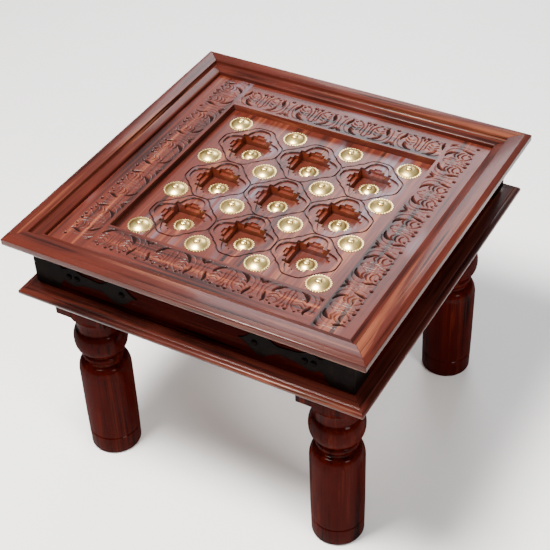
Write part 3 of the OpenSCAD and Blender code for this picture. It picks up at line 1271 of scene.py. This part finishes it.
def vertex_places(obj: Solid) -> np.ndarray:
    """The places of an object's vertices, one row each."""
    flat = np.empty(len(obj.data.vertices) * 3)
    obj.data.vertices.foreach_get("co", flat)
    return flat.reshape(-1, 3)


def set_vertex_places(obj: Solid, places: np.ndarray) -> None:
    """Moves an object's vertices to these places."""
    obj.data.vertices.foreach_set("co", places.ravel())
    obj.data.update()


def close_below(obj: Solid, bottom: float) -> None:
    """Gives an open carved face its sides and its flat underside.

    Args:
        obj: The carved face.
        bottom: Height of the underside.
    """
    Bench.take(obj)
    with Bench.editing():
        bpy.ops.mesh.select_mode(type="EDGE")
        bpy.ops.mesh.select_all(action="DESELECT")
        bpy.ops.mesh.select_non_manifold()
        bpy.ops.mesh.extrude_edges_move(TRANSFORM_OT_translate={"value": (0.0, 0.0, -MM)})
        bpy.ops.transform.resize(value=(1.0, 1.0, 0.0), center_override=(0.0, 0.0, bottom))
        bpy.ops.mesh.edge_face_add()
        bpy.ops.mesh.select_mode(type="VERT")


@dataclass
class CarvedPanel:
    """The sunk panel with nine stepped pockets and incised outlines. Sizes in millimetres."""

    half: float = 204.9
    top: float = 436.0
    bottom: float = 408.0
    well_half: float = 26.0
    well_depth: float = 19.0
    step_half: float = 13.5
    step_reach: float = 32.0
    step_depth: float = 10.0
    notch_half: float = 6.5
    notch_reach: float = 36.5
    notch_depth: float = 5.5
    arch_depth: float = 2.6
    inner_groove: float = 1.75
    outer_groove: float = 1.65
    groove_sink: float = 0.45
    tool_above: float = 1.0
    outer_stretch: float = 1.03
    slip: float = 0.4
    slip_turn: float = 0.7
    seed: int = 9

    def arch_outline(self) -> list[Point]:
        """The edge of one pocket at the panel's face, all round.

        Returns:
            The outline about the pocket's middle.
        """
        quarter = [(26.0, 26.0, 0), (20.5, 25.5, 0), (18.6, 30.0, 0), (16.2, 36.5, 0),
                   (12.6, 42.5, 0), (7.0, 46.4, 0), (0.0, 47.2, 0), (-7.0, 46.4, 0),
                   (-12.6, 42.5, 0), (-16.2, 36.5, 0), (-18.6, 30.0, 0), (-20.5, 25.5, 0),
                   (-26.0, 26.0, 0)]
        return four_fold([(a, b) for a, b, _ in curve_through(quarter, 2)])

    def outer_outline(self) -> list[Point]:
        """The second line, which meets the next pocket's halfway.

        Returns:
            The outline about the pocket's middle.
        """
        quarter = [(35.0, 30.0, 0), (29.5, 33.5, 0), (24.0, 39.0, 0), (19.5, 45.5, 0),
                   (14.0, 50.0, 0), (7.5, 51.8, 0), (-7.5, 51.8, 0), (-14.0, 50.0, 0),
                   (-19.5, 45.5, 0), (-24.0, 39.0, 0), (-29.5, 33.5, 0)]
        return [(a * self.outer_stretch, b)
                for a, b in four_fold([(a, b) for a, b, _ in curve_through(quarter, 2)])]

    def pockets(self) -> list[Matrix]:
        """The moves that bring a tool to each of the nine slightly uneven pockets.

        Returns:
            The moves, in rows from the front left.
        """
        chance = random.Random(self.seed)
        moves = []
        for number in range(9):
            seat = seat_of(f"small_dome_{number // 3 + 1}_{number % 3 + 1}")
            shift = Vector((seat.x + chance.uniform(-self.slip, self.slip) * MM,
                            seat.y + chance.uniform(-self.slip, self.slip) * MM, 0.0))
            turn = math.radians(chance.uniform(-self.slip_turn, self.slip_turn))
            moves.append(Matrix.Translation(shift) @ Matrix.Rotation(turn, 4, "Z"))
        return moves

    def _cross(self, half: float, reach: float, depth: float, number: int) -> Solid:
        """One arm of a square cross.

        Args:
            half: Half the arm's width.
            reach: How far it reaches from the middle.
            depth: Its depth below the panel's face.
            number: 0 for the arm along X and 1 for the arm along Y.

        Returns:
            The tool.
        """
        size = (reach, half) if number == 0 else (half, reach)
        return Bench.block((-size[0] * MM, -size[1] * MM, (self.top - depth) * MM),
                           (size[0] * MM, size[1] * MM, (self.top + self.tool_above) * MM))

    def _prism(self, outline: Sequence[Point], depth: float) -> Solid:
        """A flat-bottomed tool of this outline and depth."""
        return Bench.drawn([(a, b, (self.top - depth) * MM) for a, b in metres(outline)],
                           (0.0, 0.0, (depth + self.tool_above) * MM))

    def _veiner(self, outline: Sequence[Point], radius: float) -> Solid:
        """A round rod bent along an outline, for a fine groove.

        Args:
            outline: The groove's outline.
            radius: The rod's radius.

        Returns:
            The tool.
        """
        curve = bpy.data.curves.new("veiner", "CURVE")
        curve.dimensions = "3D"
        spline = curve.splines.new("POLY")
        spline.points.add(len(outline) - 1)
        for point, (a, b) in zip(spline.points, metres(outline)):
            point.co = (a, b, (self.top - self.groove_sink) * MM, 1.0)
        spline.use_cyclic_u = True
        curve.bevel_depth = radius * MM
        curve.bevel_resolution = 1
        obj = bpy.data.objects.new("veiner", curve)
        bpy.context.collection.objects.link(obj)
        Bench.take(obj)
        bpy.ops.object.convert(target="MESH")
        return bpy.context.object

    def _cut_all(self, panel: Solid, tool: Solid,
                 numbers: Iterable[int] = range(9)) -> None:
        """Makes the same cut in several pockets at once.

        Args:
            panel: The panel.
            tool: The tool, at the panel's middle.
            numbers: The pockets.
        """
        moves = self.pockets()
        tools = [Bench.copy(tool, moves[number]) for number in numbers]
        Bench.scrap(tool)
        Bench.cut(panel, Bench.join(tools))

    def build(self, finish: Finish) -> None:
        """Builds the panel.

        Args:
            finish: The carved wood finish.
        """
        panel = Bench.block((-self.half * MM, -self.half * MM, self.bottom * MM),
                            (self.half * MM, self.half * MM, self.top * MM))
        self._cut_all(panel, self._prism(self.arch_outline(), self.arch_depth))
        for arm in (0, 1):
            self._cut_all(panel, self._cross(self.notch_half, self.notch_reach,
                                             self.notch_depth, arm))
            self._cut_all(panel, self._cross(self.step_half, self.step_reach,
                                             self.step_depth, arm))
        self._cut_all(panel, self._cross(self.well_half, self.well_half, self.well_depth, 0))
        for group in (range(0, 9, 2), range(1, 9, 2)):
            self._cut_all(panel, self._veiner(self.arch_outline(), self.inner_groove), group)
            self._cut_all(panel, self._veiner(self.outer_outline(), self.outer_groove), group)
        Bench.smooth(panel, 30.0)
        Bench.hand_over(panel, "pocketed_panel", "carved_rosewood", finish, ["carved_panel"])


def four_fold(quarter: Sequence[Point]) -> list[Point]:
    """A closed outline from its upper side, which runs from right to left.

    Args:
        quarter: The upper side's points.

    Returns:
        The outline, anticlockwise, with no point twice.
    """
    same = 0.05
    outline: list[Point] = []
    for turn in range(4):
        c, s = round(math.cos(turn * math.pi / 2)), round(math.sin(turn * math.pi / 2))
        for a, b in quarter:
            point = (a * c - b * s, a * s + b * c)
            if not outline or math.dist(outline[-1], point) > same:
                outline.append(point)
    if math.dist(outline[0], outline[-1]) < same:
        outline.pop()
    return outline


# ---------------------------------------------------------------------------------------------
# Brass and iron
# ---------------------------------------------------------------------------------------------


@dataclass(frozen=True)
class DomeSize:
    """Sizes of one kind of dome, in millimetres."""

    word: str
    count: int
    radius: float
    rim: float
    height: float
    teeth: int
    tooth: float


@dataclass
class BrassDomes:
    """Pressed brass domes, each held by a round-headed nail. Sizes in millimetres."""

    sheet: float = 0.9
    nail_radius: float = 5.2
    nail_height: float = 2.4
    nail_grime_and_shade: float = 2.4
    foot_grime_and_shade: float = 4.2
    crown_radius: float = 1.6
    crown_steps: int = 12
    tooth_sides: int = 6
    large: DomeSize = DomeSize("large", 4, 20.0, 2.9, 6.5, 28, 2.3)
    small: DomeSize = DomeSize("small", 3, 16.5, 3.4, 5.5, 22, 3.1)

    def _shell(self, size: DomeSize) -> Solid:
        """One dome, standing at the origin.

        Args:
            size: The kind of dome.

        Returns:
            The dome.
        """
        foot = size.radius - size.rim
        ball = (foot ** 2 + size.height ** 2) / (2 * size.height)
        low = math.asin(foot / ball)
        crown = math.asin(self.crown_radius / ball)
        cap = arc((0.0, size.height - ball), (ball, ball), 90 - math.degrees(low),
                  90 - math.degrees(crown), self.crown_steps)
        top = self.sheet
        root = size.radius - size.tooth - 0.1
        rings = [(size.radius, top * 0.35), (size.radius - 0.4, top * 0.85),
                 (max(root, foot + 0.4), top), (foot + 0.25, top * 0.95), (foot, top * 0.8)]
        outline = metres([*rings, *[(r, max(z, top * 0.8)) for r, z in cap]])
        obj = Bench.lathe(outline, size.teeth * self.tooth_sides, solid=False)
        places = vertex_places(obj)
        radius = np.hypot(places[:, 0], places[:, 1]) / MM
        angle = np.arctan2(places[:, 1], places[:, 0])
        wave = np.abs(np.sin(angle * size.teeth / 2)) ** 0.9
        edge = np.clip((radius - root) / size.tooth, 0, 1)
        shrink = 1 - edge * (1 - wave) * size.tooth / size.radius
        places[:, :2] *= shrink[:, None]
        set_vertex_places(obj, places)
        # Grime and painted shade: a dark ring round the nail and a dark line where the cap meets
        # the rim.
        by_nail = 1 - np.abs(radius - self.nail_radius - 0.9) / self.nail_grime_and_shade
        by_foot = 0.95 - np.abs(radius - foot + 0.4) / self.foot_grime_and_shade
        by_foot[radius > foot + 0.3] = 0.0
        store(obj, "grime_and_shade", np.clip(np.maximum(by_nail, by_foot), 0, 1))
        Bench.modify(obj, "SOLIDIFY", thickness=self.sheet * 0.5 * MM, offset=-1.0)
        Bench.smooth(obj, 40.0)
        return obj

    def _places(self, size: DomeSize) -> list[tuple[str, Matrix]]:
        """Finds where the domes of one kind go.

        Args:
            size: The kind of dome.

        Returns:
            Each dome's row and column as the nodes write them, and the move to its place.
        """
        chance = random.Random(size.teeth)
        found = []
        for row in range(1, size.count + 1):
            for column in range(1, size.count + 1):
                label = f"{row}_{column}"
                seat = seat_of(f"{size.word}_dome_{label}")
                turn = Matrix.Rotation(chance.uniform(0, math.tau), 4, "Z")
                found.append((label, Matrix.Translation(seat) @ turn))
        return found

    def _nail(self, size: DomeSize) -> Solid:
        """A round-headed nail in a dome that stands at the origin.

        Args:
            size: The kind of dome.

        Returns:
            The nail.
        """
        head = [(self.nail_radius - 0.7, size.height - 0.35),
                (self.nail_radius, size.height - 0.05)]
        head += [(max(r, 0.25), z) for r, z in
                 arc((0.0, size.height), (self.nail_radius, self.nail_height), 8, 90, 7)]
        top = Bench.lathe(metres(head), 32)
        shank = Bench.lathe(metres([(0.4, -5.0), (1.2, -2.0), (1.2, size.height + 0.4)]), 12)
        return Bench.join([top, shank])

    def build(self, finish: Finish) -> None:
        """Builds the domes and their nails.

        Args:
            finish: The brass finish.
        """
        nails = []
        for size in (self.large, self.small):
            shell, nail = self._shell(size), self._nail(size)
            for label, move in self._places(size):
                Bench.hand_over(Bench.copy(shell, move), f"brass_{size.word}_{label}", "brass",
                                finish, [f"{size.word}_dome_{label}"])
                nails.append(Bench.copy(nail, move))
            Bench.scrap(shell, nail)
        joined = Bench.join(nails)
        Bench.smooth(joined, 40.0)
        Bench.hand_over(joined, "round_headed_nails", "brass", finish, ["dome_nails"])


@dataclass
class IronStraps:
    """Iron straps bent round the apron's corners, with their studs. Sizes in millimetres."""

    face: float = 268.0
    thickness: float = 2.0
    middle: float = 401.0
    length: float = 184.0
    studs: tuple[float, ...] = (62.0, 76.0, 156.0)
    knots: tuple[Point, ...] = ((0, 31), (40, 31), (53, 11), (69, 17), (92, 9), (118, 7),
                                (150, 22), (184, 1))
    columns: int = 184
    rows: int = 12
    crown: float = 0.35
    dent: float = 0.12
    seed: int = 5

    def half_height(self, place: float) -> float:
        """The strap's half height.

        Args:
            place: Distance from the corner.

        Returns:
            The half height there.
        """
        for (start, low), (end, high) in zip(self.knots, self.knots[1:]):
            if place <= end:
                share = (place - start) / (end - start)
                return low + (high - low) * (1 - math.cos(math.pi * share)) / 2
        return self.knots[-1][1]

    def _strap(self) -> Solid:
        """The strap of the front right corner.

        Returns:
            The strap.
        """
        Bench.clear()
        bpy.ops.mesh.primitive_grid_add(x_subdivisions=self.columns, y_subdivisions=self.rows,
                                        size=2.0)
        obj = bpy.context.object
        places = vertex_places(obj)
        chance = random.Random(self.seed)
        shaped = np.empty_like(places)
        face = self.face + self.thickness
        for index, (u, v, _) in enumerate(places):
            along = u * self.length
            height = self.middle + v * self.half_height(abs(along))
            bow = self.crown * (1 - v * v) - self.crown - self.dent * chance.random()
            if along >= 0:
                shaped[index] = (face + bow, -face + along, height)
            else:
                shaped[index] = (face + along, -face - bow, height)
        set_vertex_places(obj, shaped * MM)
        Bench.take(obj)
        with Bench.editing():
            pass  # turns the faces one way
        if obj.data.polygons[len(obj.data.polygons) // 4].normal.y > 0:
            obj.data.flip_normals()
        Bench.modify(obj, "SOLIDIFY", thickness=(self.thickness - self.crown) * MM, offset=-1.0)
        Bench.smooth(obj, 40.0)
        return obj

    def _studs(self) -> Solid:
        """All the studs, on their places.

        Returns:
            The studs as one piece.
        """
        dome = Bench.lathe(metres([(5.0, 0.0), *arc((0, 0), (5.0, 3.0), 12, 86, 7)]), 28)
        face = (self.face + self.thickness) * MM
        upright = Matrix.Rotation(math.pi / 2, 4, "X")
        studs = []
        for side in Side:
            for end in (-1, 1):
                for place in self.studs:
                    spot = Matrix.Translation((end * (self.face - place) * MM, -face,
                                               self.middle * MM))
                    studs.append(Bench.copy(dome, quarter_turn(side.value) @ spot @ upright))
        Bench.scrap(dome)
        joined = Bench.join(studs)
        Bench.smooth(joined, 40.0)
        return joined

    def build(self, finish: Finish) -> None:
        """Builds the straps and studs.

        Args:
            finish: The iron finish.
        """
        set_round(self._strap(), "iron_strap", "corner_strap", "black_iron",
                  [(word, finish) for word in CORNERS])
        Bench.hand_over(self._studs(), "iron_studs", "black_iron", finish, ["strap_studs"])


# ---------------------------------------------------------------------------------------------
# What the frame already holds, and the studio
# ---------------------------------------------------------------------------------------------


@dataclass
class HiddenWork:
    """Boards, blocks and fixings whose plain shape in the frame is right."""

    nodes: dict[str, Solid]

    def dress(self, names: Iterable[str], material: Finish) -> None:
        """Gives some of the frame's nodes a finish.

        Args:
            names: The nodes.
            material: Their finish.
        """
        for name in names:
            for slot in self.nodes[name].material_slots:
                slot.material = material
            LOG.info("%s: finish %s", name, material.name)


@dataclass(frozen=True)
class Lamp:
    """One soft square light: where it hangs, what it points at, its watts, side and colour."""

    name: str
    place: Spot
    aim: Spot
    power: float
    size: float
    tint: Colour


@dataclass
class Studio:
    """Floor, soft light and camera."""

    camera_place: Spot = (0.84609, -1.44065, 1.67597)
    camera_turn: Spot = (50.1046, 1.9331, 29.0956)
    lens: float = 87.905
    sensor_width: float = 36.0
    view_end: float = 100.0
    floor_size: float = 60.0
    floor_grey: Colour = (0.92, 0.92, 0.92)
    sky_tint: Colour = (0.92, 0.95, 1.0)
    sky_strength: float = 0.36
    lamps: tuple[Lamp, ...] = (
        Lamp("key", (-0.45, -0.85, 2.8), (0.0, 0.0, 0.40), 285.0, 0.8, (1.0, 0.96, 0.90)),
        Lamp("back", (-0.7, 2.3, 1.9), (0.0, 0.0, 0.45), 48.0, 1.3, (0.94, 0.95, 1.0)),
        Lamp("glint", (2.3, -1.0, 1.6), (0.0, 0.0, 0.30), 46.0, 0.7, (1.0, 0.97, 0.93)),
    )

    def floor(self) -> None:
        """Lays the pale floor."""
        Bench.clear()
        bpy.ops.mesh.primitive_plane_add(size=self.floor_size)
        floor = bpy.context.object
        floor.name = "studio_floor"
        desk = ShaderDesk("studio_floor_finish")
        floor.data.materials.append(desk.finish(Base_Color=self.floor_grey, Roughness=0.9))

    def light(self, lamp: Lamp) -> None:
        """Hangs one soft light.

        Args:
            lamp: The light.
        """
        data = bpy.data.lights.new(lamp.name, "AREA")
        data.energy, data.size, data.color = lamp.power, lamp.size, lamp.tint
        obj = bpy.data.objects.new(lamp.name, data)
        obj.location = lamp.place
        down = Vector(lamp.aim) - Vector(lamp.place)
        obj.rotation_euler = down.to_track_quat("-Z", "Y").to_euler()
        bpy.context.collection.objects.link(obj)

    def camera(self) -> None:
        """Sets up the camera."""
        data = bpy.data.cameras.new("studio_camera")
        data.lens = self.lens
        data.sensor_width = self.sensor_width
        data.clip_end = self.view_end
        camera = bpy.data.objects.new("studio_camera", data)
        camera.location = self.camera_place
        camera.rotation_euler = [math.radians(a) for a in self.camera_turn]
        bpy.context.collection.objects.link(camera)
        bpy.context.scene.camera = camera

    def build(self) -> None:
        """Builds the studio."""
        world = bpy.data.worlds.new("studio_world")
        world.use_nodes = True
        sky = world.node_tree.nodes["Background"]
        sky.inputs["Color"].default_value = (*self.sky_tint, 1.0)
        sky.inputs["Strength"].default_value = self.sky_strength
        bpy.context.scene.world = world
        self.floor()
        for lamp in self.lamps:
            self.light(lamp)
        self.camera()


def main() -> None:
    """Builds the table piece by piece round its frame."""
    logging.basicConfig(level=logging.INFO, format="%(name)s: %(message)s")
    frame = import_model()
    Studio().build()

    lacquered = both_ways("rosewood", middle=(0.044, 0.0076, 0.0044),
                          pale=(0.125, 0.036, 0.018), streak=1.5, lacquer=0.15, gloss=0.10)
    carved = both_ways("carved_rosewood", relief=True, lacquer=0.26, lacquer_roughness=0.28,
                       gloss=0.20, roughness=0.44, wear=0.45)
    panel = CarvedPanel()
    panel_wood = LacqueredRosewood("panel_rosewood", Grain.ALONG_Y, lacquer=0.28,
                                   lacquer_roughness=0.28, gloss=0.21, roughness=0.44,
                                   wear=0.60, depth_shade_top=panel.top * MM).build()
    leg_wood = LacqueredRosewood("leg_rosewood_finish", Grain.ALONG_Z, dark=NEARLY_BLACK,
                                 middle=(0.026, 0.0015, 0.0006),
                                 pale=(0.066, 0.0072, 0.0022),
                                 lacquer=0.06, lacquer_roughness=0.07, gloss=0.0).build()
    # The aprons are a darker copy of the rosewood: painted shade under the top's overhang.
    shaded_apron_wood = both_ways("apron_rosewood", dark=NEARLY_BLACK, middle=(0.018, 0.0012, 0.0006),
                           pale=(0.045, 0.0050, 0.0020), lacquer=0.015, gloss=0.0,
                           roughness=0.42)
    brass = PressedBrass().build()
    iron = HammeredIron().build()

    TopFrame().build(lacquered)
    Ledge().build(lacquered)
    TurnedLegs().build(leg_wood)
    CarvedBorder().build(carved)
    panel.build(panel_wood)
    BrassDomes().build(brass)
    IronStraps().build(iron)

    hidden = HiddenWork(frame["nodes"])
    for side in Side:
        hidden.dress([f"apron_{side.word}"], shaded_apron_wood[grain_of(side)])
    hidden.dress(["support_battens", "backing_board", "cleats", "corner_blocks"],
                 PlainBoard().build())
    hidden.dress(["ledge_screws", "hanger_bolts", "bolt_nuts"], ZincSteel().build())
    hidden.dress(["felt_pads"], BrownFelt().build())

    LOG.info("sizes written")


if __name__ == "__main__":
    main()
